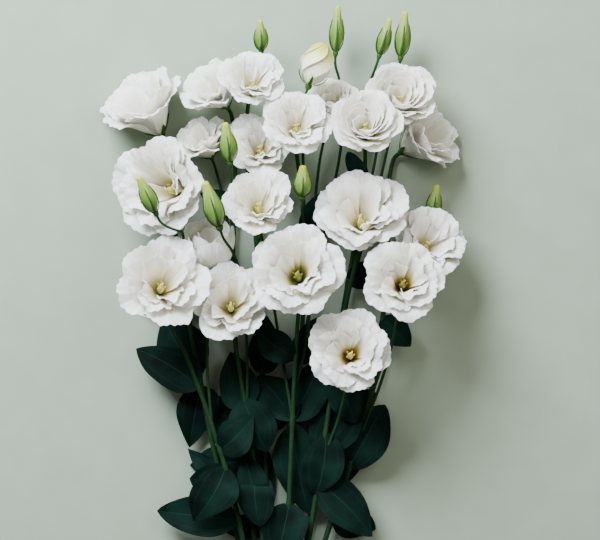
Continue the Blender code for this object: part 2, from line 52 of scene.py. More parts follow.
# Each bloom: middle of its rim, the way it faces, span, turn in degrees, form.
BLOOMS = {
    "bloom_01": ((-125, 222, 30.62), (-0.45, 0.75, 0.48), 80, 20, "trumpet"),
    "bloom_02": ((-62.5, 233, 43), (-0.45, 0.65, 0.60), 58, 50, "trumpet"),
    "bloom_03": ((-25, 237, 66), (0.10, 0.55, 0.83), 58, 5, "open"),
    "bloom_04": ((13, 199, 79), (0.05, 0.45, 0.90), 63, 33, "open"),
    "bloom_05": ((44, 221, 44), (0.05, 0.70, 0.70), 50, 12, "rose"),
    "bloom_06": ((71, 199, 84), (0.00, 0.45, 0.88), 64, 40, "rose"),
    "bloom_07": ((103, 224, 56), (0.15, 0.50, 0.84), 66, 18, "rose"),
    "bloom_08": ((132, 193, 28), (0.70, 0.48, 0.50), 72, 60, "trumpet"),
    "bloom_09": ((-70, 188, 29), (-0.32, 0.74, 0.57), 53.5, 8, "cup"),
    "bloom_10": ((-19, 181, 47), (0.00, 0.45, 0.88), 60, 26, "open"),
    "bloom_11": ((-109, 142, 66), (-0.50, 0.08, 0.86), 90, 44, "open"),
    "bloom_12": ((-20, 131, 80), (0.00, 0.45, 0.89), 62, 15, "cup"),
    "bloom_13": ((-63, 104, 58), (-0.06, 0.80, 0.60), 73, 27, "half_open"),
    "bloom_14": ((66, 125, 69), (-0.05, 0.48, 0.87), 84, 57, "open"),
    "bloom_15": ((129, 99, 52), (0.32, 0.40, 0.86), 68, 10, "open"),
    "bloom_16": ((103.5, 65, 93), (0.04, 0.30, 0.95), 72, 36, "open"),
    "bloom_17": ((11, 73, 98), (-0.10, 0.28, 0.95), 82, 22, "open"),
    "bloom_18": ((-101, 63, 84), (0.10, 0.32, 0.94), 78, 50, "cup"),
    "bloom_19": ((-44, 45, 72), (0.00, 0.28, 0.96), 72, 65, "cup"),
    "bloom_20": ((58, 3, 92), (0.00, 0.20, 0.98), 74, 28, "open"),
}

# Throats that aren't plain cream.
THROATS = {
    "bloom_05": "ivory",
    "bloom_06": "ivory",
    "bloom_07": "ivory",
    "bloom_17": "olive",
    "bloom_16": "amber",
    "bloom_20": "honey",
}

# The opening bud and the green ones: foot, tip, widest radius.
OPENING_BUD = ((23, 229, 58), (36, 265, 66), 13)
BUDS = {
    "bud_01": ((-18, 260, 34), (-19, 286, 42), 5.8),
    "bud_02": ((46, 259, 28), (48, 299, 34), 6.0),
    "bud_03": ((84, 257, 26), (93, 288, 32), 5.6),
    "bud_04": ((102, 255, 30), (106, 294, 36), 6.4),
    "bud_05": ((-44, 163, 76), (-48, 196, 86), 7.2),
    "bud_06": ((-107, 120, 87), (-121, 150, 98), 6.6),
    "bud_07": ((-53, 108, 88), (-65, 146, 98), 8.0),
    "bud_08": ((17, 134, 66), (18, 160, 76), 7.4),
    "bud_09": ((129, 116, 16), (134, 145, 22), 6.4),
}

# Each stem: column and layer in the foot, points of its way up, the flower it ends in, and its side stalks
# as (share of the way where the stalk leaves, points, flower).
STEMS = {
    "stem_01": (
        (-2.5, 0),
        ((-36, -170, 11), (-57, -99, 15), (-80, 20, 20), (-94, 110, 14)),
        "bloom_01",
        (
            (0.66, ((-86, 90, 12),), "bloom_11"),
            (0.60, ((-86, 78, 46), (-83, 103, 68), (-88, 104, 84)), "bud_06"),
        ),
    ),
    "stem_02": (
        (-2.0, 1),
        ((-30, -180, 20), (-48, -99, 28), (-80, -6, 34)),
        "bloom_18",
        ((0.66, ((-66, 0, 33), (-61, 38, 31)), "bloom_13"),),
    ),
    "stem_03": (
        (-1.5, 0),
        ((-24, -170, 10), (-36, -60, 14), (-44, 60, 12), (-40, 150, 9)),
        "bloom_02",
        (
            (0.72, ((-48, 120, 9),), "bloom_09"),
            (0.60, ((-42, 80, 22), (-44, 125, 44)), "bud_05"),
        ),
    ),
    "stem_04": (
        (-0.5, 0),
        ((-12, -170, 9), (-18, 0, 11), (-22, 100, 9), (-34, 180, 18)),
        "bloom_03",
        (
            (0.66, ((-20, 120, 6),), "bloom_10"),
            (0.74, ((-8, 160, 10), (-8, 210, 18), (-14, 240, 26)), "bud_01"),
        ),
    ),
    "stem_05": (
        (-1.0, 1),
        ((-16, -170, 18), (-26, -80, 24), (-38, -10, 26)),
        "bloom_19",
        ((0.72, ((-30, 10, 28), (-34, 62, 40), (-41, 86, 60)), "bud_07"),),
    ),
    "stem_06": (
        (0.0, 1),
        ((4, -170, 20), (8, -80, 30), (12, 10, 40)),
        "bloom_17",
        (
            (0.66, ((-4, 20, 28), (-14, 80, 24)), "bloom_12"),
            (0.72, ((24, 20, 30), (24, 80, 34), (18, 115, 48)), "bud_08"),
        ),
    ),
    "stem_07": (
        (0.5, 0),
        ((6, -170, 9), (16, 0, 12), (22, 100, 14), (14, 160, 26)),
        "bloom_04",
        (
            (0.66, ((28, 130, 10), (34, 180, 10)), "bloom_05"),
            (0.74, ((18, 170, 22), (17, 196, 32)), "opening_bud"),
            (0.60, ((40, 120, 6), (54, 190, 10), (50, 235, 20)), "bud_02"),
        ),
    ),
    "stem_08": (
        (1.0, 1),
        ((22, -170, 18), (36, -80, 26), (50, 20, 24)),
        "bloom_14",
        ((0.50, ((48, -60, 32), (55, -30, 38)), "bloom_20"),),
    ),
    "stem_09": (
        (1.5, 0),
        ((20, -170, 9), (46, 0, 12), (64, 100, 12), (72, 150, 18)),
        "bloom_06",
        (
            (0.66, ((78, 120, 7), (90, 170, 8)), "bloom_07"),
            (0.74, ((74, 180, 10), (72, 225, 12)), "bud_03"),
            (0.70, ((80, 160, 12), (86, 205, 10), (98, 238, 20)), "bud_04"),
        ),
    ),
    "stem_10": (
        (2.5, 0),
        ((34, -170, 10), (59, -99, 14), (84, -10, 17), (92, 90, 10), (92, 145, 7)),
        "bloom_08",
        (
            (0.50, ((100, 30, 10),), "bloom_15"),
            (0.46, ((92, -10, 30),), "bloom_16"),
            (0.55, ((108, 60, 6), (118, 90, 8)), "bud_09"),
        ),
    ),
}

# Leaves, by stem: where they clasp it along the bunch, heading in degrees from +Y towards +X, how far they
# rise above the stem, length and width.
LEAVES = {
    "stem_01": (
        (-115, -40, -2, 40, 16),
        (-30, -166, -3, 50, 28),
        (-30, 168, -6, 36, 24),
        (-21, -40, -6, 56, 42),
        (50, -95, -6, 40, 26),
        (66, -60, 4, 34, 18),
    ),
    "stem_02": (
        (-145, -84, -2, 66, 30),
        (-100, -160, 12, 48, 34),
        (-84, 55, 7, 38, 28),
        (-30, -48, -8, 58, 32),
    ),
    "stem_03": (
        (-119, -80, 7, 48, 34),
        (-95, -95, -7, 45, 28),
        (-75, -35, -7, 48, 30),
        (20, -60, 4, 38, 24),
        (125, -60, 8, 30, 16),
    ),
    "stem_04": (
        (-150, -100, -4.8, 40, 20),
        (-125, -25, -4, 46, 26),
        (-70, 14, -4, 48, 28),
        (-18, 8, 6, 46, 24),
    ),
    "stem_05": (
        (-130, -20, 8, 42, 24),
        (-105, -175, 8, 42, 30),
        (-48, -22, -5, 46, 30),
        (-40, 165, 6, 46, 34),
    ),
    "stem_06": (
        (-131, 190, 3, 44, 34),
        (-62, 175, -12, 74, 36),
        (-58, -30, -12, 44, 30),
        (-58, 28, -10, 50, 32),
        (-5, -60, 6, 36, 24),
    ),
    "stem_07": (
        (-120, 5, -5, 46, 26),
        (-62, 20, -5, 48, 28),
        (-10, 20, 12, 44, 24),
        (100, 20, 6, 36, 18),
    ),
    "stem_08": (
        (-112, 125, 2, 61, 32),
        (-84, 25, -6, 58, 36),
        (-70, 178, 4, 48, 32),
        (-20, 150, 4, 42, 26),
    ),
    "stem_09": (
        (-110, 60, -5.5, 42, 28),
        (-60, 50, -5.5, 46, 30),
        (60, 60, 4, 36, 20),
        (144, -22, 7, 30, 14),
    ),
    "stem_10": (
        (-140, 120, -6, 36, 26),
        (-100, 28, 4, 58, 34),
        (30, 140, 8, 32, 22),
    ),
}

# Stems

STEM_RADIUS = 2.6
STEM_TOP_RADIUS = 1.7
STALK_RADIUS = 1.35
STALK_TOP_RADIUS = 1.15
# A stem swells at each node that a leaf grows from, by a share of its radius and over some mm, and by no
# more than NODE_SWELL_MOST where nodes lie close together.
NODE_SWELL = 0.25
NODE_SWELL_MOST = 0.3
NODE_REACH = 3.5
ROD_STEPS = 90
# The cut ends lie in a row at FOOT_Y in two layers, and the stems run straight up from there for FOOT_RUN.
FOOT_Y = -300
FOOT_RUN = 45
FOOT_PITCH = 5.5
FOOT_LOW_Z = STEM_RADIUS
FOOT_HIGH_Z = 7.1
# A stalk ends straight behind its flower, and sinks into the flower's foot.
STRAIGHT_END = 12
STALK_SUNK = 2.5

# Blooms, in mm at a span of 76 mm. Each form is a list of layers of petals, from the outermost inwards:
# number of petals, half the angle that one covers in degrees, the (radius, height) points of the cubic curve
# that its middle line follows from the foot to the rim, how far its rim rolls outwards, and how strongly it
# is ruffled.
BLOOM_SPAN = 76
RIM_HEIGHT = {"open": 36, "rose": 35, "cup": 35, "trumpet": 41, "half_open": 40}
FORMS = {
    "open": (
        (5, 47, ((3.2, 0.6), (15, 9), (21, 32), (38, 34)), 2.5, 1.0),
        (5, 45, ((3.0, 0.8), (13, 9), (17, 33), (31, 40)), 2.0, 1.0),
        (4, 52, ((2.8, 1.0), (11, 9), (13.5, 31), (21.5, 41)), 1.5, 0.9),
        (2, 44, ((2.6, 1.2), (9, 10), (10.5, 25), (14.5, 34)), 1.5, 0.9),
    ),
    "rose": (
        (5, 45, ((3.2, 0.6), (15, 9), (24, 28), (37, 33)), 1.5, 0.7),
        (5, 44, ((3.1, 0.7), (14, 9), (21, 28), (31.5, 38)), 0.8, 0.6),
        (5, 44, ((3.0, 0.8), (12.5, 9), (18, 28), (26, 39.5)), 0.5, 0.4),
        (5, 48, ((2.9, 0.9), (11, 9), (15, 26), (20.5, 39)), 0.5, 0.35),
        (4, 56, ((2.8, 1.0), (9.5, 9), (12.5, 24), (15, 36)), 0.3, 0.3),
        (3, 66, ((2.7, 1.1), (8, 9), (10, 21), (10, 31)), 0.0, 0.25),
    ),
    "cup": (
        (5, 46, ((3.2, 0.6), (15, 9), (21, 27), (38, 35)), 2.5, 1.0),
        (5, 44, ((3.0, 0.8), (13, 9), (17, 28), (29, 41)), 1.5, 1.0),
        (4, 50, ((2.8, 1.0), (11, 9), (14, 28), (20, 40)), 0.5, 0.9),
    ),
    "trumpet": (
        (5, 45, ((3.2, 0.6), (15, 10), (22, 32), (37, 40)), 2.5, 1.0),
        (5, 43, ((3.0, 0.8), (13.5, 10), (19, 32), (30, 45)), 1.5, 0.9),
        (4, 50, ((2.8, 1.0), (12, 10), (16, 30), (22, 43)), 0.5, 0.8),
    ),
    "half_open": (
        (5, 48, ((3.2, 0.6), (17, 7), (28, 22), (22, 43)), -1.0, 0.35),
        (4, 56, ((3.0, 0.8), (14, 7), (22, 22), (17, 43)), -1.0, 0.35),
        (3, 62, ((2.8, 1.0), (11, 8), (15, 22), (10, 40)), 0.0, 0.35),
    ),
}

PETAL_THICKNESS = 0.38
# Faces across and along a petal: the two outer layers are finer, because most of what shows is theirs.
FINE = (40, 13)
COARSE = (28, 11)
FINE_LAYERS = 2
# A petal's width at its root as a share of its width at the rim.
ROOT_SHARE = 0.62
# How much of its length a petal loses at its corners, and how late across it.
RIM_ROUNDING = 0.26
RIM_POWER = 2.4
RIM_SKEW = 0.15
# How far one side of a petal dips under the petal beside it, and how far the petal bulges like a spoon.
IMBRICATION = 2.2
CUPPING = 0.8
# The share of the length from which a petal's rim rolls outwards, and how unevenly the petals do it.
ROLL_START = 0.6
ROLL_SPREAD = (0.5, 1.5)
# How unevenly the petals of a bloom stand and how their lengths differ.
LAYER_SPREAD = 0.1
HEADING_SPREAD = 0.08
REACH_SPREAD = (0.92, 1.04)
# Random phases of the ruffles run over about a full turn.
PHASE = 6
# Ruffles that all petals of a bloom share, since they were pressed together in the bud: waves round the
# bloom, height in mm, and how late along the petal they grow.
SHARED_RUFFLES = ((5, 1.4, 2.0), (9, 0.9, 3.5))
# Each petal's own: waves across it, height in mm, growth.
OWN_RUFFLES = ((1.3, 1.3, 2.0), (2.7, 0.9, 3.5), (5.5, 0.6, 6.0), (11.0, 0.4, 9.0))
# Notches of the rim: waves across a petal (radians a half width), share of the petal's length.
FRINGE = ((7.3, 0.014), (16.1, 0.009), (33.0, 0.009))
# Petals and leaves that meet the floor bend over the last few mm, and keep a small gap for their thickness.
FLOOR_BEND = 4
FLOOR_GAP = 0.25
# Petals that lie against the neighbouring flower's bell: a point of that bell, and the way out of it.
PRESSED = {"bloom_08": ((112.7, 207.9, 46.4), (0.51, -0.76, -0.40))}
PRESSED_BEND = 9
PRESSED_GAP = 0.6

# Hearts: the throat's floor above the foot and the ring of anthers grow with the bloom, the rest is in mm.
HEART_FLOOR = 12.4
OVARY_RADIUS = 2.9
# The ovary's half height and middle, as shares of the floor's height.
OVARY_HALF = 0.7
OVARY_MIDDLE = 0.75
# Half sizes, and how far above the floor their middles are.
STYLE_SIZE = (0.6, 0.6, 3.4)
STYLE_RISE = 6.8
LOBE_SIZE = (1.3, 0.9, 0.8)
LOBE_RISE = 9.8
LOBE_ASIDE = 1.0
STAMENS = 5
STAMEN_RING = 3.4
STAMEN_SWAY = 0.1
STAMEN_RISE = 3.2
STAMEN_SPREAD = 0.8
FILAMENT_SIZE = (0.3, 0.3, 4.0)
FILAMENT_LEAN = 0.9
FILAMENT_DROP = 3.2
ANTHER_SIZE = (0.7, 0.7, 1.4)
ANTHER_RISE = 1.2
DEEP_THROATS = ("olive", "amber")

# Calyces: the cup's radius and the sepals' width, and how far up the flower the sepals reach. They are in mm
# for a bloom of 76 mm and for the opening bud, and shares of the widest radius for a green bud.
BLOOM_CALYX = (3.7, 4.6)
BLOOM_SEPAL_TIP = 0.30
OPENING_CALYX = (3.2, 3.0)
OPENING_SEPAL_TIP = 0.26
BUD_CALYX = (0.42, 0.25)
BUD_SEPAL_TIP = 0.68
# Five sepals stand round a flower's foot, each a blade that narrows to its tip.
SEPALS = 5
SEPAL_TURN = 0.3
SEPAL_THICKNESS = 0.6
SEPAL_TAPER = 0.6
SEPAL_BELLY = 0.5
SEPAL_LEAST_RADIUS = 1.0
# Where a sepal starts, how far it stands off the petals, how much more so at its tip, and its crown.
SEPAL_START = 0.02
SEPAL_CLEARANCE = 1.0
SEPAL_TIP_CLEARANCE = 0.5
SEPAL_CROWN = 0.35
# How far a bud's sepals stand off its petals: as a share of the radius, and in mm.
BUD_SEPAL_ROOM = (1.06, 0.35)
# How far the cup reaches up round the flower's foot, and down along the stalk.
CUP_TOP = 0.8
CUP_DEPTH = 5.0

# Furls: the share of a turn by which a bud's petals wind up to its tip, and how far each edge stands over
# the next petal, as a share of the radius.
OPENING_FURL = (0.45, 0.24)
BUD_FURL = (0.22, 0.14)
FURLS = 5
# Keeps the edges of the furled petals just beside the mesh's columns, not on them.
FURL_SHIFT = 0.001
# A furled petal rises to its edge with this power, from a level that keeps the bud about as thick as before.
FURL_POWER = 2.5
FURL_LEVEL = 0.3


# Small tools

# Edges sharper than this many degrees stay sharp when a piece is shaded.
SHARP_ANGLE = 65


def linear(code):
    """The linear colour of an sRGB hex value."""
    parts = [int(code[k : k + 2], 16) / 255 for k in (1, 3, 5)]
    return [c / 12.92 if c <= 0.04045 else ((c + 0.055) / 1.055) ** 2.4 for c in parts]


def rgba(code):
    return (*linear(code), 1.0)


def pick(*objects):
    """Selects just these objects and makes the first one active."""
    bpy.ops.object.select_all(action="DESELECT")
    for obj in objects:
        obj.select_set(True)
    bpy.context.view_layer.objects.active = objects[0]


def join(name, objects):
    pick(*objects)
    if len(objects) > 1:
        bpy.ops.object.join()
    objects[0].name = name
    objects[0].data.name = name
    return objects[0]


def thicken(obj, thickness, second_side=0):
    """Gives a sheet its thickness, half of it to each side. Its second side may take the next material."""
    pick(obj)
    wall = obj.modifiers.new("thickness", "SOLIDIFY")
    wall.thickness = thickness * MM
    wall.offset = 0.0
    wall.material_offset = second_side
    bpy.ops.object.modifier_apply(modifier=wall.name)


def finish(obj, node_name):
    """Shades a finished piece, and puts it in place of its CAD node."""
    pick(obj)
    bpy.ops.object.shade_smooth_by_angle(angle=math.radians(SHARP_ANGLE))
    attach(obj, "root")
    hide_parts(node_name)


def take_mesh(name):
    """The mesh of the object that was just added, without the object, as a template."""
    obj = bpy.context.object
    mesh = obj.data
    mesh.name = name
    bpy.data.objects.remove(obj)
    return mesh


def make_grid(name, across, along):
    """A flat sheet to be laid on a curved shape: x from -1 to 1 across it, y from -1 to 1 along it."""
    bpy.ops.mesh.primitive_grid_add(x_subdivisions=across, y_subdivisions=along, size=2, location=(0, 0, 0))
    return take_mesh(name)


def make_ball(name, segments, rings):
    """A closed ball to be turned into a bud or a knob."""
    bpy.ops.mesh.primitive_uv_sphere_add(segments=segments, ring_count=rings, radius=1, location=(0, 0, 0))
    return take_mesh(name)


def points_of(mesh):
    flat = np.empty(len(mesh.vertices) * 3)
    mesh.vertices.foreach_get("co", flat)
    return flat.reshape(-1, 3)


def shaped(name, template, points, *materials):
    """A copy of a template mesh with its points moved to a shape, in metres."""
    mesh = template.copy()
    mesh.vertices.foreach_set("co", np.ascontiguousarray(points, dtype=np.float32).reshape(-1))
    mesh.materials.clear()
    for material in materials:
        mesh.materials.append(material)
    mesh.update()
    obj = bpy.data.objects.new(name, mesh)
    bpy.context.scene.collection.objects.link(obj)
    return obj


def placed(points, foot, turn, scale=1.0):
    """Points in mm in a flower's own frame, moved to where the flower stands, in metres."""
    spin = np.array(turn.to_matrix())
    return points * (scale * MM) @ spin.T + np.array(foot) * MM


def laid_against(points, place, outwards, bend, gap):
    """Bends what would reach past a plane over the last few mm before it, so that it lies against it."""
    outwards = np.array(Vector(outwards).normalized())
    height = (points / MM - np.array(place)) @ outwards
    room = bend - gap
    bent = gap + room * np.exp(np.minimum(height - bend, 0) / room)
    return points + np.outer(np.where(height < bend, bent - height, 0), outwards) * MM


def laid_on_floor(points):
    return laid_against(points, (0, 0, 0), (0, 0, 1), FLOOR_BEND, FLOOR_GAP)


def facing(direction, spin):
    """The turn that takes +Z to a direction, after a spin in degrees about it."""
    return Vector(direction).to_track_quat("Z", "Y") @ Quaternion((0, 0, 1), math.radians(spin))


def turned(radius, height, angle):
    """Points at these radii, heights and angles round a flower's axis."""
    return np.stack([radius * np.cos(angle), radius * np.sin(angle), height], 1)


def cubic(points, t):
    """Place and inward normal along a cubic curve of (radius, height) points."""
    a, b, c, d = (np.array(p, float) for p in points)
    t = t[:, None]
    u = 1 - t
    place = a * u**3 + 3 * b * u**2 * t + 3 * c * u * t**2 + d * t**3
    run = (b - a) * u**2 + 2 * (c - b) * u * t + (d - c) * t**2
    normal = np.stack([-run[:, 1], run[:, 0]], 1)
    return place, normal / np.linalg.norm(normal, axis=1, keepdims=True)


# Materials

def add(tree, kind, inputs=None, stops=(), **settings):
    """Adds a node with its settings and the stops of its ramp, and sets or links its inputs."""
    made = tree.nodes.new(kind)
    for key, value in settings.items():
        setattr(made, key, value)
    for number, (place, code) in enumerate(stops):
        band = made.color_ramp.elements
        stop = band[number] if number < len(band) else band.new(place)
        stop.position = place
        stop.color = rgba(code)
    for key, value in (inputs or {}).items():
        if isinstance(value, bpy.types.NodeSocket):
            tree.links.new(value, made.inputs[key])
        else:
            made.inputs[key].default_value = value
    return made


def new_material(name, **constants):
    """A material whose shader has these constants, with its node tree and shader."""
    material = bpy.data.materials.new(name)
    material.use_nodes = True
    tree = material.node_tree
    shader = tree.nodes["Principled BSDF"]
    for key, value in constants.items():
        shader.inputs[key.replace("_", " ")].default_value = value
    return material, tree, shader


def dress(tree, shader, colour, relief, strength, depth):
    """Links a colour and a relief of some depth in mm to the shader."""
    tree.links.new(colour, shader.inputs["Base Color"])
    bump = add(tree, "ShaderNodeBump", {"Height": relief, "Strength": strength, "Distance": depth * MM})
    tree.links.new(bump.outputs["Normal"], shader.inputs["Normal"])


def petal_material(name, stops):
    """Fresh petal: matt, silky white skin that lets light through, with fine veins that fan to the rim.

    The eye sees white that warms towards the throat and ends in cream, honey, amber or olive in its depth,
    partly the throat's own colour and partly painted warm shade, and faint grey lines along the petal.
    """
    material, tree, shader = new_material(
        name, Roughness=0.6, IOR=1.4, Subsurface_Weight=0.7, Subsurface_Scale=0.003, Sheen_Weight=0.03
    )
    shader.inputs["Subsurface Radius"].default_value = (1.0, 0.92, 0.66)
    place = add(tree, "ShaderNodeUVMap", uv_map="UVMap").outputs["UV"]
    split = add(tree, "ShaderNodeSeparateXYZ", {"Vector": place})
    base = add(tree, "ShaderNodeValToRGB", {"Fac": split.outputs["Y"]}, stops)
    # Veins 0.6 mm apart are too fine for the picture, so they are drawn about 1.5 mm apart.
    fan = add(tree, "ShaderNodeMapping", {"Vector": place, "Scale": (30, 2.2, 1)})
    veins = add(tree, "ShaderNodeTexNoise", {"Vector": fan.outputs["Vector"], "Scale": 1.0, "Detail": 3.0})
    lines = add(
        tree,
        "ShaderNodeMapRange",
        {"Value": veins.outputs["Fac"], "From Min": 0.42, "From Max": 0.62, "To Max": 0.45},
    )
    colour = add(
        tree,
        "ShaderNodeMix",
        {0: lines.outputs["Result"], 6: base.outputs["Color"], 7: rgba("#E2E2D8")},
        data_type="RGBA",
        blend_type="MULTIPLY",
    )
    where = add(tree, "ShaderNodeTexCoord").outputs["Object"]
    crinkle = add(tree, "ShaderNodeTexNoise", {"Vector": where, "Scale": 420.0, "Detail": 2.0})
    both = add(
        tree, "ShaderNodeMath", {0: veins.outputs["Fac"], 1: crinkle.outputs["Fac"]}, operation="ADD"
    )
    dress(tree, shader, colour.outputs[2], both.outputs[0], 0.25, 0.4)
    return material


def leaf_material(name, dark, light, vein, roughness):
    """Lisianthus leaf or sepal: thick, with a waxy bloom that dulls its gloss, and pale sunken veins.

    The eye sees leaves in dark, clouded blue-green, partly their own colour and partly painted shade, and
    sepals in a lighter yellow-green.
    """
    material, tree, shader = new_material(
        name, Roughness=roughness, Specular_IOR_Level=0.03, Subsurface_Weight=0.05, Subsurface_Scale=0.0008
    )
    where = add(tree, "ShaderNodeTexCoord").outputs["Object"]
    clouds = add(tree, "ShaderNodeTexNoise", {"Vector": where, "Scale": 38.0, "Detail": 4.0})
    grain = add(tree, "ShaderNodeTexNoise", {"Vector": where, "Scale": 900.0, "Detail": 2.0})
    base = add(tree, "ShaderNodeValToRGB", {"Fac": clouds.outputs["Fac"]}, ((0.34, dark), (0.68, light)))
    place = add(tree, "ShaderNodeUVMap", uv_map="UVMap").outputs["UV"]
    split = add(tree, "ShaderNodeSeparateXYZ", {"Vector": place})
    aside = add(tree, "ShaderNodeMath", {0: split.outputs["X"], 1: 0.5}, operation="SUBTRACT")
    away = add(tree, "ShaderNodeMath", {0: aside.outputs[0]}, operation="ABSOLUTE")
    # Three veins run from the base to the tip: the midrib and a fainter one at each side.
    comb = add(tree, "ShaderNodeMath", {0: away.outputs[0], 1: 6 * math.pi}, operation="MULTIPLY")
    wave = add(tree, "ShaderNodeMath", {0: comb.outputs[0]}, operation="COSINE")
    lines = add(
        tree,
        "ShaderNodeMapRange",
        {"Value": wave.outputs[0], "From Min": 0.93, "From Max": 1.0, "To Max": 1.0},
    )
    fade = add(
        tree,
        "ShaderNodeMapRange",
        {"Value": away.outputs[0], "From Max": 0.4, "To Min": 0.6, "To Max": 0.12},
    )
    drawn = add(
        tree,
        "ShaderNodeMath",
        {0: lines.outputs["Result"], 1: fade.outputs["Result"]},
        operation="MULTIPLY",
    )
    colour = add(
        tree,
        "ShaderNodeMix",
        {0: drawn.outputs[0], 6: base.outputs["Color"], 7: rgba(vein)},
        data_type="RGBA",
    )
    relief = add(
        tree,
        "ShaderNodeMath",
        {0: drawn.outputs[0], 1: -1.5, 2: grain.outputs["Fac"]},
        operation="MULTIPLY_ADD",
    )
    dress(tree, shader, colour.outputs[2], relief.outputs[0], 0.35, 0.5)
    return material


def stem_material(name, low, high, streak, pith):
    """Green stem skin: smooth and slightly waxy, with painted shade that darkens it towards the cut end, and
    faint streaks along it.

    The cut faces show the pale pith.
    """
    material, tree, shader = new_material(name, Roughness=0.6, Specular_IOR_Level=0.07)
    where = add(tree, "ShaderNodeTexCoord").outputs["Object"]
    split = add(tree, "ShaderNodeSeparateXYZ", {"Vector": where})
    # Painted shade: the skin is darker from the flowers down to the cut ends, where the bunch lies in shade.
    up = add(tree, "ShaderNodeMapRange", {"Value": split.outputs["Y"], "From Min": -0.25, "From Max": 0.2})
    base = add(tree, "ShaderNodeValToRGB", {"Fac": up.outputs["Result"]}, ((0.0, low), (1.0, high)))
    stretch = add(tree, "ShaderNodeMapping", {"Vector": where, "Scale": (1400, 60, 1400)})
    streaks = add(
        tree, "ShaderNodeTexNoise", {"Vector": stretch.outputs["Vector"], "Scale": 1.0, "Detail": 2.0}
    )
    shade = add(
        tree,
        "ShaderNodeMapRange",
        {"Value": streaks.outputs["Fac"], "From Min": 0.4, "From Max": 0.7, "To Max": 0.35},
    )
    skin = add(
        tree,
        "ShaderNodeMix",
        {0: shade.outputs["Result"], 6: base.outputs["Color"], 7: rgba(streak)},
        data_type="RGBA",
    )
    cut_plane = (FOOT_Y + 0.05) * MM
    cut = add(tree, "ShaderNodeMath", {0: split.outputs["Y"], 1: cut_plane}, operation="LESS_THAN")
    colour = add(
        tree, "ShaderNodeMix", {0: cut.outputs[0], 6: skin.outputs[2], 7: rgba(pith)}, data_type="RGBA"
    )
    dress(tree, shader, colour.outputs[2], streaks.outputs["Fac"], 0.2, 0.3)
    return material


def bud_material(name, stops, edge, edge_share):
    """Furled bud petals: smooth and firm, with pale edges that wind up.

    The eye sees green buds that turn yellow to the tip, and a white one with a little green at both ends.
    """
    material, tree, shader = new_material(
        name, Roughness=0.45, IOR=1.42, Subsurface_Weight=0.2, Subsurface_Scale=0.0015
    )
    up = add(tree, "ShaderNodeAttribute", attribute_name="along").outputs["Fac"]
    furl = add(tree, "ShaderNodeAttribute", attribute_name="furl").outputs["Fac"]
    base = add(tree, "ShaderNodeValToRGB", {"Fac": up}, stops)
    rim = add(
        tree, "ShaderNodeMapRange", {"Value": furl, "From Min": 0.55, "From Max": 1.0, "To Max": edge_share}
    )
    soft = add(
        tree,
        "ShaderNodeMix",
        {0: rim.outputs["Result"], 6: base.outputs["Color"], 7: rgba(edge)},
        data_type="RGBA",
    )
    where = add(tree, "ShaderNodeTexCoord").outputs["Object"]
    mottle = add(tree, "ShaderNodeTexNoise", {"Vector": where, "Scale": 500.0, "Detail": 3.0})
    shade = add(
        tree,
        "ShaderNodeMapRange",
        {"Value": mottle.outputs["Fac"], "From Min": 0.4, "From Max": 0.8, "To Max": 0.25},
    )
    colour = add(
        tree,
        "ShaderNodeMix",
        {0: shade.outputs["Result"], 6: soft.outputs[2], 7: base.outputs["Color"]},
        data_type="RGBA",
        blend_type="MULTIPLY",
    )
    dress(tree, shader, colour.outputs[2], mottle.outputs["Fac"], 0.15, 0.3)
    return material


def grained_material(name, dark, light, size, roughness, depth):
    """A matt natural skin with two close colours in grains of a size in mm."""
    material, tree, shader = new_material(name, Roughness=roughness, IOR=1.45)
    where = add(tree, "ShaderNodeTexCoord").outputs["Object"]
    grain = add(tree, "ShaderNodeTexNoise", {"Vector": where, "Scale": 1 / (size * MM), "Detail": 3.0})
    colour = add(tree, "ShaderNodeValToRGB", {"Fac": grain.outputs["Fac"]}, ((0.35, dark), (0.65, light)))
    dress(tree, shader, colour.outputs["Color"], grain.outputs["Fac"], 0.4, depth)
    return material


# Colours from the throat's floor to the petal's rim, for each kind of throat that the bunch shows. Low down
# they are partly the throat's own colour and partly painted warm shade, creamier and darker where the bloom
# is deepest.
THROAT_COLOURS = {
    "cream": ("#92884F", "#BAAD74", "#D8CA9C", "#E8DCBA", "#F0E7D0", "#F5F0E1", "#F9F7F0"),
    "ivory": ("#B0A268", "#D0C188", "#E1D3A6", "#EBE0BF", "#F1E8CF", "#F5EEDC", "#F9F5EA"),
    "olive": ("#3F461C", "#6C6E2A", "#A09A50", "#D6CA9A", "#EDE4C8", "#F4F0E0", "#F9F7F0"),
    "amber": ("#4E3A16", "#80621F", "#B0974A", "#DCCB96", "#EEE4C8", "#F4EFE0", "#F9F7F0"),
    "honey": ("#7A6226", "#A4883C", "#CBB572", "#E4D5A8", "#EFE5CA", "#F4EFE0", "#F9F7F0"),
}
THROAT_STOPS = (0.0, 0.18, 0.31, 0.43, 0.58, 0.76, 0.95)
PETAL_INSIDE = {
    kind: petal_material(f"white_petal_{kind}_throat", tuple(zip(THROAT_STOPS, colours)))
    for kind, colours in THROAT_COLOURS.items()
}
# The backs of the petals, from the green foot to the rim.
PETAL_OUTSIDE = petal_material(
    "white_petal_outside",
    ((0.0, "#9DAE70"), (0.12, "#C6CCA2"), (0.26, "#E5E4CE"), (0.48, "#F2F0E4"), (1.0, "#F8F6EF")),
)
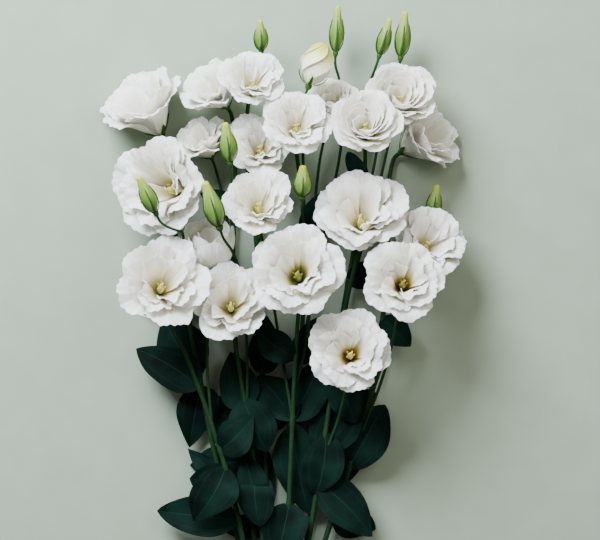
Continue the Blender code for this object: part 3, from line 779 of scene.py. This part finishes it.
# Painted shade: the leaves' colours, above and below, are darker than their own blue-green, for the shade
# that the blooms cast over them.
LEAF = leaf_material("leaf_upper", "#06110E", "#0C221C", "#163129", 0.7)
LEAF_UNDER = leaf_material("leaf_under", "#091C16", "#133127", "#1D3D31", 0.75)
STEM = stem_material("stem_skin", "#0F2219", "#1B381C", "#2B4A28", "#B4BE92")
SEPAL = leaf_material("sepal", "#25441C", "#365A26", "#476B33", 0.5)
BUD_STOPS = ((0.0, "#40601F"), (0.35, "#597A2F"), (0.72, "#7B943C"), (1.0, "#B0B83A"))
OPENING_STOPS = (
    (0.0, "#AEBB78"), (0.18, "#DADBC0"), (0.48, "#E8E7D0"),
    (0.66, "#DEDD98"), (0.80, "#C9CB58"), (1.0, "#A8B034"),
)
BUD = bud_material("bud_skin", BUD_STOPS, "#96A95C", 0.5)
OPENING = bud_material("opening_bud_skin", OPENING_STOPS, "#EEEFDE", 0.4)
# The stigma's skin and the anthers' pollen, both darker in the deep throats.
HEARTS = {
    "pale": (
        grained_material("pale_stigma_skin", "#9C9C50", "#BDB973", 0.5, 0.7, 0.15),
        grained_material("pale_anther_skin", "#B8984C", "#D2B670", 0.4, 0.75, 0.15),
    ),
    "deep": (
        grained_material("deep_stigma_skin", "#55602A", "#7F853C", 0.5, 0.7, 0.15),
        grained_material("deep_anther_skin", "#7A5218", "#A87A2A", 0.4, 0.75, 0.15),
    ),
}

# Templates for everything that grows
FINE_PETAL = make_grid("petal_grid_fine", *FINE)
COARSE_PETAL = make_grid("petal_grid_coarse", *COARSE)
LEAF_GRID = make_grid("leaf_grid", across=12, along=22)
SEPAL_GRID = make_grid("sepal_grid", across=4, along=12)
BUD_BALL = make_ball("bud_ball", segments=60, rings=32)
KNOB = make_ball("knob", segments=12, rings=8)


# Blooms

def petal_shape(sheet, layer, heading, reach, phases, dice):
    """Points in mm of one ruffled petal in its bloom's frame."""
    _, half_angle, profile, roll, ruffle = layer
    grid = points_of(sheet)
    s = grid[:, 0]
    t = (grid[:, 1] + 1) / 2
    fringe = sum(depth * np.cos(waves * s + dice.uniform(0, PHASE)) for waves, depth in FRINGE)
    corner = np.abs(s + dice.uniform(-RIM_SKEW, RIM_SKEW)) ** RIM_POWER
    length = reach * (1 - RIM_ROUNDING * corner) + fringe * ruffle * t**3
    place, normal = cubic(profile, t * length)
    angle = heading + math.radians(half_angle) * s * (ROOT_SHARE + (1 - ROOT_SHARE) * t)
    lift = -IMBRICATION * s * t
    for (waves, height, growth), phase in zip(SHARED_RUFFLES, phases):
        lift = lift + ruffle * height * t**growth * np.cos(waves * angle + phase)
    for waves, height, growth in OWN_RUFFLES:
        lift = lift + ruffle * height * t**growth * np.cos(math.pi * waves * s + dice.uniform(0, PHASE))
    rolled = np.clip((t - ROLL_START) / (1 - ROLL_START), 0, 1) ** 2
    lift = lift - dice.uniform(*ROLL_SPREAD) * roll * rolled
    lift = lift + CUPPING * (1 - s * s) * np.sin(math.pi * t)
    return turned(place[:, 0] + lift * normal[:, 0], place[:, 1] + lift * normal[:, 1], angle)


def bloom_petals(name, foot, turn, scale, form, inside):
    """All petals of one bloom, as one piece."""
    dice = random.Random(name)
    phases = [dice.uniform(0, 2 * math.pi) for _ in SHARED_RUFFLES]
    petals = []
    for number, layer in enumerate(FORMS[form]):
        count = layer[0]
        sheet = FINE_PETAL if number < FINE_LAYERS else COARSE_PETAL
        # Each layer's petals stand in front of the gaps of the layer outside it.
        shift = 0.5 * number + dice.uniform(-LAYER_SPREAD, LAYER_SPREAD)
        for k in range(count):
            heading = 2 * math.pi * (k + shift) / count + dice.uniform(-HEADING_SPREAD, HEADING_SPREAD)
            points = petal_shape(sheet, layer, heading, dice.uniform(*REACH_SPREAD), phases, dice)
            points = placed(points, foot, turn, scale)
            if name in PRESSED:
                points = laid_against(points, *PRESSED[name], PRESSED_BEND, PRESSED_GAP)
            points = laid_on_floor(points)
            petals.append(shaped(f"{name}_petal_{len(petals)}", sheet, points, PETAL_OUTSIDE, inside))
    flower = join(f"{name}_petals", petals)
    thicken(flower, PETAL_THICKNESS, 1)
    finish(flower, name)


def bloom_heart(node_name, foot, turn, scale, skins):
    """Ovary, style and the stigma's two lobes, with five stamens round them."""
    dice = random.Random(node_name)
    stigma, anther = skins
    floor = HEART_FLOOR * scale
    ovary_size = (OVARY_RADIUS * scale, OVARY_RADIUS * scale, OVARY_HALF * floor)
    knobs = [
        ("ovary", ovary_size, (0, 0, OVARY_MIDDLE * floor), stigma),
        ("style", STYLE_SIZE, (0, 0, floor + STYLE_RISE), stigma),
        ("lobe_left", LOBE_SIZE, (-LOBE_ASIDE, 0, floor + LOBE_RISE), stigma),
        ("lobe_right", LOBE_SIZE, (LOBE_ASIDE, 0, floor + LOBE_RISE), stigma),
    ]
    for k in range(STAMENS):
        angle = 2 * math.pi * (k + dice.uniform(-STAMEN_SWAY, STAMEN_SWAY)) / STAMENS
        x = STAMEN_RING * scale * math.cos(angle)
        y = STAMEN_RING * scale * math.sin(angle)
        rise = floor + STAMEN_RISE + dice.uniform(-STAMEN_SPREAD, STAMEN_SPREAD)
        middle = (FILAMENT_LEAN * x, FILAMENT_LEAN * y, rise - FILAMENT_DROP)
        knobs.append((f"filament_{k}", FILAMENT_SIZE, middle, stigma))
        knobs.append((f"anther_{k}", ANTHER_SIZE, (x, y, rise + ANTHER_RISE), anther))
    pieces = []
    for part, size, middle, material in knobs:
        points = points_of(KNOB) * np.array(size) + np.array(middle)
        pieces.append(shaped(f"{node_name}_{part}", KNOB, placed(points, foot, turn), material))
    finish(join(f"{node_name}_heart", pieces), node_name)


# Buds: outlines are (share of the length, share of the widest radius).
BUD_OUTLINE = (
    (0.0, 0.10), (0.02, 0.30), (0.08, 0.58), (0.18, 0.84), (0.30, 0.97), (0.42, 1.0), (0.54, 0.90),
    (0.66, 0.72), (0.78, 0.54), (0.88, 0.43), (0.95, 0.38), (0.985, 0.30), (1.0, 0.05),
)
OPENING_OUTLINE = (
    (0.0, 0.10), (0.03, 0.30), (0.10, 0.50), (0.20, 0.72), (0.32, 0.90), (0.44, 0.99),
    (0.56, 1.0), (0.68, 0.92), (0.79, 0.74), (0.88, 0.52), (0.95, 0.32), (1.0, 0.05),
)


def furled_bud(name, foot, tip, widest, outline, furled, material):
    """A closed bud of furled petals, whose edges wind up to its tip and stand over the petals beside them."""
    winds, step = furled
    run = Vector(tip) - Vector(foot)
    ball = points_of(BUD_BALL)
    v = np.clip(np.arccos(np.clip(-ball[:, 2], -1, 1)) / math.pi, 0, 1)
    around = np.arctan2(ball[:, 1], ball[:, 0])
    # The ball's own columns are wound up, so that each petal's edge follows one of them.
    turns = FURLS * around / (2 * math.pi) + FURL_SHIFT
    furl = turns - np.floor(turns)
    around = around + 2 * math.pi * winds * v
    radius = widest * np.interp(v, *zip(*outline)) * (1 + step * (furl**FURL_POWER - FURL_LEVEL))
    points = turned(radius, v * run.length, around)
    bud = shaped(f"{name}_petals", BUD_BALL, placed(points, foot, facing(run, 0)), material)
    for key, values in (("along", v), ("furl", furl)):
        layer = bud.data.attributes.new(key, "FLOAT", "POINT")
        layer.data.foreach_set("value", values.astype(np.float32))
    finish(bud, name)


# Stems and leaves

def rounded(path, times=3):
    """A path with its corners cut off again and again, which makes it smooth and keeps it inside them."""
    for _ in range(times):
        smooth = [path[0]]
        for a, b in zip(path, path[1:]):
            smooth.append(a.lerp(b, 0.25))
            smooth.append(a.lerp(b, 0.75))
        smooth.append(path[-1])
        path = smooth
    return path


def path_lengths(path):
    """How far along a path each of its points lies, in mm."""
    lengths = [0.0]
    for a, b in zip(path, path[1:]):
        lengths.append(lengths[-1] + (b - a).length)
    return lengths


def path_shares(path):
    lengths = path_lengths(path)
    return [length / lengths[-1] for length in lengths]


def along_path(path, share):
    """The point at a share of a path's length."""
    lengths = path_lengths(path)
    target = share * lengths[-1]
    for k, (a, b) in enumerate(zip(path, path[1:])):
        if lengths[k + 1] >= target:
            return a.lerp(b, (target - lengths[k]) / (lengths[k + 1] - lengths[k]))
    return path[-1].copy()


def where_path_reaches(path, y):
    """The first point of a path at this place along the bunch."""
    for a, b in zip(path, path[1:]):
        if a.y <= y <= b.y:
            return a.lerp(b, (y - a.y) / (b.y - a.y))
    return path[-1].copy()


def rod(name, path, radius, top_radius, nodes=()):
    """A round tapering stem along a path in mm, a little thicker at its nodes."""
    places = sorted({*np.linspace(0, 1, ROD_STEPS), *path_shares(path)})
    spots = [along_path(path, share) for share in places]
    curve = bpy.data.curves.new(name, "CURVE")
    curve.dimensions = "3D"
    curve.bevel_depth = MM
    curve.bevel_resolution = 4
    curve.use_fill_caps = True
    spline = curve.splines.new("POLY")
    spline.points.add(len(spots) - 1)
    for point, share, spot in zip(spline.points, places, spots):
        point.co = (*(spot * MM), 1)
        swell = sum(NODE_SWELL * math.exp(-(((spot - knot).length / NODE_REACH) ** 2)) for knot in nodes)
        point.radius = (radius + (top_radius - radius) * share) * (1 + min(swell, NODE_SWELL_MOST))
    obj = bpy.data.objects.new(name, curve)
    bpy.context.scene.collection.objects.link(obj)
    curve.materials.append(STEM)
    pick(obj)
    bpy.ops.object.convert(target="MESH")
    return bpy.context.object


# A leaf is folded along its midrib, reaches its level at a share of its length, and droops from there.
LEAF_FOLD = 0.22
LEAF_DROOP = 0.25
LEAF_LEVEL = 0.4
LEAF_THICKNESS = 0.5
# How round its base and how drawn-out its tip is, how far it swings aside, and how far it twists.
LEAF_BASE = (0.5, 0.8)
LEAF_TIP = (0.65, 1.1)
LEAF_SWING = 0.2
LEAF_TWIST = 0.4
# How uneven its width is, as a share.
LEAF_UNEVEN = 0.04
# Height in mm and half waves along it, of the whole blade and of its edge alone.
LEAF_WAVE = (1.7, 2.3)
LEAF_FRILL = (0.7, 5.7)
# Depth and half width of the groove along its midrib.
LEAF_GROOVE = (0.35, 0.9)
# Leaves are a little longer and wider than their plain solids, so that they close up over each other.
LEAF_FULLNESS = (1.08, 1.16)
# Which roll of the dice shapes each stem's leaves, so that they lie beside each other and don't cross.
LEAF_ROLLS = {"stem_01": 30, "stem_02": 3, "stem_05": 33, "stem_06": 30, "stem_08": 5}


def leaf(name, base, heading, rise, length, width, dice):
    """A pointed-oval leaf that clasps its stem, rises to its level and arches over at the tip."""
    grid = points_of(LEAF_GRID)
    s = grid[:, 0]
    t = (grid[:, 1] + 1) / 2
    turn = math.radians(heading)
    out = np.array((math.sin(turn), math.cos(turn), 0))
    side = np.array((math.cos(turn), -math.sin(turn), 0))
    length = length * LEAF_FULLNESS[0]
    # Widest near the middle or a little below it, with a round base and a more or less drawn-out tip.
    outline = (0.02 + 0.98 * t) ** dice.uniform(*LEAF_BASE) * (1 - t) ** dice.uniform(*LEAF_TIP)
    half = 0.5 * width * LEAF_FULLNESS[1] * outline / outline.max()
    half = half * (1 + LEAF_UNEVEN * np.sin(9 * t + 2.1 * s + dice.uniform(0, PHASE)))
    swing = dice.uniform(-LEAF_SWING, LEAF_SWING) * length * t * t
    level = rise * (1 - (1 - np.minimum(t / LEAF_LEVEL, 1)) ** 2)
    level = level - LEAF_DROOP * length * np.clip(t - LEAF_LEVEL, 0, 1) ** 2
    fold = LEAF_FOLD * half * np.sqrt(s * s + 0.03)
    roll = dice.uniform(-LEAF_TWIST, LEAF_TWIST) * s * half * t
    # Waves and groove fade to the base and to the tip.
    fade = np.sin(math.pi * t)
    height, waves = LEAF_WAVE
    wave = height * s * np.sin(waves * math.pi * t + dice.uniform(0, PHASE)) * fade
    height, waves = LEAF_FRILL
    wave = wave + height * np.abs(s) ** 3 * np.sin(waves * math.pi * t + dice.uniform(0, PHASE)) * fade
    depth, reach = LEAF_GROOVE
    groove = -depth * np.exp(-((s * half / reach) ** 2)) * fade
    points = np.array(base) + out * (length * t)[:, None] + side * (s * half + swing)[:, None]
    points[:, 2] += level + fold + roll + wave + groove
    return shaped(name, LEAF_GRID, laid_on_floor(points * MM), LEAF, LEAF_UNDER)


def sepal_line(profile, scale, tip):
    """The (radius, height) line of a sepal under a bloom's outermost petals, by share of its length."""

    def line(t):
        place, normal = cubic(profile, SEPAL_START + tip * t)
        return scale * place - normal * (SEPAL_CLEARANCE + SEPAL_TIP_CLEARANCE * t[:, None] ** 3)

    return line


def bud_sepal_line(widest, length, tip):
    """The same for a sepal that lies on a bud."""
    share, room = BUD_SEPAL_ROOM

    def line(t):
        v = SEPAL_START + tip * t
        radius = widest * np.interp(v, *zip(*BUD_OUTLINE)) * share + room
        return np.stack([radius, v * length], 1)

    return line


def calyx(name, foot, turn, radius, width, line):
    """A green cup under a flower's foot as a solid, and its sepals as thin sheets that follow a line."""
    ball = points_of(KNOB)
    height = ball[:, 2]
    stretched = np.where(height > 0, CUP_TOP * height, CUP_DEPTH * height)
    cup = np.stack([ball[:, 0] * radius, ball[:, 1] * radius, stretched], 1)
    blades = []
    grid = points_of(SEPAL_GRID)
    s = grid[:, 0]
    t = (grid[:, 1] + 1) / 2
    half = 0.5 * width * (1 - t) ** SEPAL_TAPER * (1 + SEPAL_BELLY * t)
    place = line(t)
    aside = s * half / np.maximum(place[:, 0], SEPAL_LEAST_RADIUS)
    crowned = place[:, 0] + SEPAL_CROWN * (1 - s * s) * (1 - t)
    for k in range(SEPALS):
        points = turned(crowned, place[:, 1], 2 * math.pi * (k + SEPAL_TURN) / SEPALS + aside)
        blades.append(shaped(f"{name}_sepal_{k}", SEPAL_GRID, placed(points, foot, turn), SEPAL))
    return [shaped(f"{name}_cup", KNOB, placed(cup, foot, turn), SEPAL)], blades


def stalk_end(foot, turn):
    """The last two points of the stalk that carries a flower."""
    ahead = turn @ Vector((0, 0, 1))
    return [foot - ahead * STRAIGHT_END, foot - ahead * STALK_SUNK]


def stem_spray(name, flowers):
    """One stem with its stalks, leaves and calyces, as one piece."""
    dice = random.Random(f"{name} {LEAF_ROLLS.get(name, 0)}")
    (column, layer), way, end, stalks = STEMS[name]
    foot, turn, calyx_form = flowers[end]
    x = column * FOOT_PITCH
    z = FOOT_HIGH_Z if layer else FOOT_LOW_Z
    corners = [Vector((x, FOOT_Y, z)), Vector((x, FOOT_Y + FOOT_RUN, z)), *[Vector(p) for p in way]]
    path = rounded([*corners, *stalk_end(foot, turn)])
    leaves = LEAVES[name]
    knots = [where_path_reaches(path, y) for y, *_ in leaves]
    solids = [rod(f"{name}_rod", path, STEM_RADIUS, STEM_TOP_RADIUS, knots)]
    cups, blades = calyx(f"{name}_{end}", foot, turn, *calyx_form)
    for share, points, flower in stalks:
        foot, turn, calyx_form = flowers[flower]
        route = rounded([along_path(path, share), *[Vector(p) for p in points], *stalk_end(foot, turn)])
        solids.append(rod(f"{name}_{flower}", route, STALK_RADIUS, STALK_TOP_RADIUS))
        more_cups, more_blades = calyx(f"{name}_{flower}", foot, turn, *calyx_form)
        cups += more_cups
        blades += more_blades
    sepals = join(f"{name}_sepals", blades)
    thicken(sepals, SEPAL_THICKNESS)
    sheets = []
    for number, ((y, heading, rise, length, width), base) in enumerate(zip(leaves, knots)):
        sheets.append(leaf(f"{name}_leaf_{number}", base, heading, rise, length, width, dice))
    foliage = join(f"{name}_leaves", sheets)
    thicken(foliage, LEAF_THICKNESS, 1)
    finish(join(f"{name}_spray", [*solids, *cups, sepals, foliage]), name)


def build_bunch():
    """Makes every piece. The stems come last, because they need each flower's foot, turn and calyx."""
    flowers = {}
    for name, (place, direction, span, spin, form) in BLOOMS.items():
        scale = span / BLOOM_SPAN
        turn = facing(direction, spin)
        foot = Vector(place) - turn @ Vector((0, 0, RIM_HEIGHT[form] * scale))
        cup, blade = BLOOM_CALYX
        outermost = FORMS[form][0][2]
        line = sepal_line(outermost, scale, BLOOM_SEPAL_TIP)
        flowers[name] = (foot, turn, (cup * scale, blade * scale, line))
        throat = THROATS.get(name, "cream")
        bloom_petals(name, foot, turn, scale, form, PETAL_INSIDE[throat])
        if form != "half_open":
            skins = HEARTS["deep" if throat in DEEP_THROATS else "pale"]
            bloom_heart(name.replace("bloom", "pistil"), foot, turn, scale, skins)
    foot, tip, widest = OPENING_BUD
    run = Vector(tip) - Vector(foot)
    calyx_form = (*OPENING_CALYX, bud_sepal_line(widest, run.length, OPENING_SEPAL_TIP))
    flowers["opening_bud"] = (Vector(foot), facing(run, 0), calyx_form)
    furled_bud("opening_bud", foot, tip, widest, OPENING_OUTLINE, OPENING_FURL, OPENING)
    for name, (foot, tip, widest) in BUDS.items():
        run = Vector(tip) - Vector(foot)
        cup, blade = BUD_CALYX
        line = bud_sepal_line(widest, run.length, BUD_SEPAL_TIP)
        flowers[name] = (Vector(foot), facing(run, 0), (cup * widest, blade * widest, line))
        furled_bud(name, foot, tip, widest, BUD_OUTLINE, BUD_FURL, BUD)
    for name in STEMS:
        stem_spray(name, flowers)


build_bunch()


# Floor, light and camera, in metres

FLOOR_SIZE = 6
# The picture is 600 by 540 pixels.
PICTURE_PIXELS = 600
PIXEL = 0.85 * MM
CAMERA_HEIGHT = 3.0
CAMERA_X = 0.0153
CAMERA_Y = 0.071
SENSOR_WIDTH = 36
# The flowers' rims lie about this high, and the scale of the picture is meant for them.
RIMS_HEIGHT = 0.07


def stage_floor():
    bpy.ops.mesh.primitive_plane_add(size=FLOOR_SIZE, location=(0, 0, 0))
    floor = bpy.context.object
    floor.name = "floor"
    floor.data.materials.append(grained_material("pale_floor", "#8C9A88", "#909E8C", 30, 0.9, 0.02))


def soft_light(name, place, target, size, power, colour):
    """A round softbox that points at a target."""
    data = bpy.data.lights.new(name, "AREA")
    data.shape = "DISK"
    data.size = size
    data.energy = power
    data.color = linear(colour)
    lamp = bpy.data.objects.new(name, data)
    bpy.context.scene.collection.objects.link(lamp)
    lamp.location = place
    lamp.rotation_euler = (Vector(target) - Vector(place)).to_track_quat("-Z", "Y").to_euler()


def make_camera():
    """Straight above the part of the bunch that the photo shows, at the photo's scale."""
    data = bpy.data.cameras.new("camera")
    data.sensor_width = SENSOR_WIDTH
    data.lens = SENSOR_WIDTH * (CAMERA_HEIGHT - RIMS_HEIGHT) / (PICTURE_PIXELS * PIXEL)
    camera = bpy.data.objects.new("camera", data)
    camera.location = (CAMERA_X, CAMERA_Y, CAMERA_HEIGHT)
    bpy.context.scene.collection.objects.link(camera)
    bpy.context.scene.camera = camera


stage_floor()
# The key stands beyond the flowers and points steeply down, so that the floor behind it isn't dark.
soft_light("key", (-0.66, 1.15, 1.05), (-0.36, 0.65, 0.0), 1.0, 112, "#F0F7FF")
soft_light("fill", (0.9, 0.7, 1.4), (-0.03, 0.15, 0.05), 1.2, 15, "#FFF8EC")
world = bpy.data.worlds.new("studio")
world.use_nodes = True
world.node_tree.nodes["Background"].inputs["Color"].default_value = rgba("#F3EFE6")
world.node_tree.nodes["Background"].inputs["Strength"].default_value = 0.3
bpy.context.scene.world = world
make_camera()
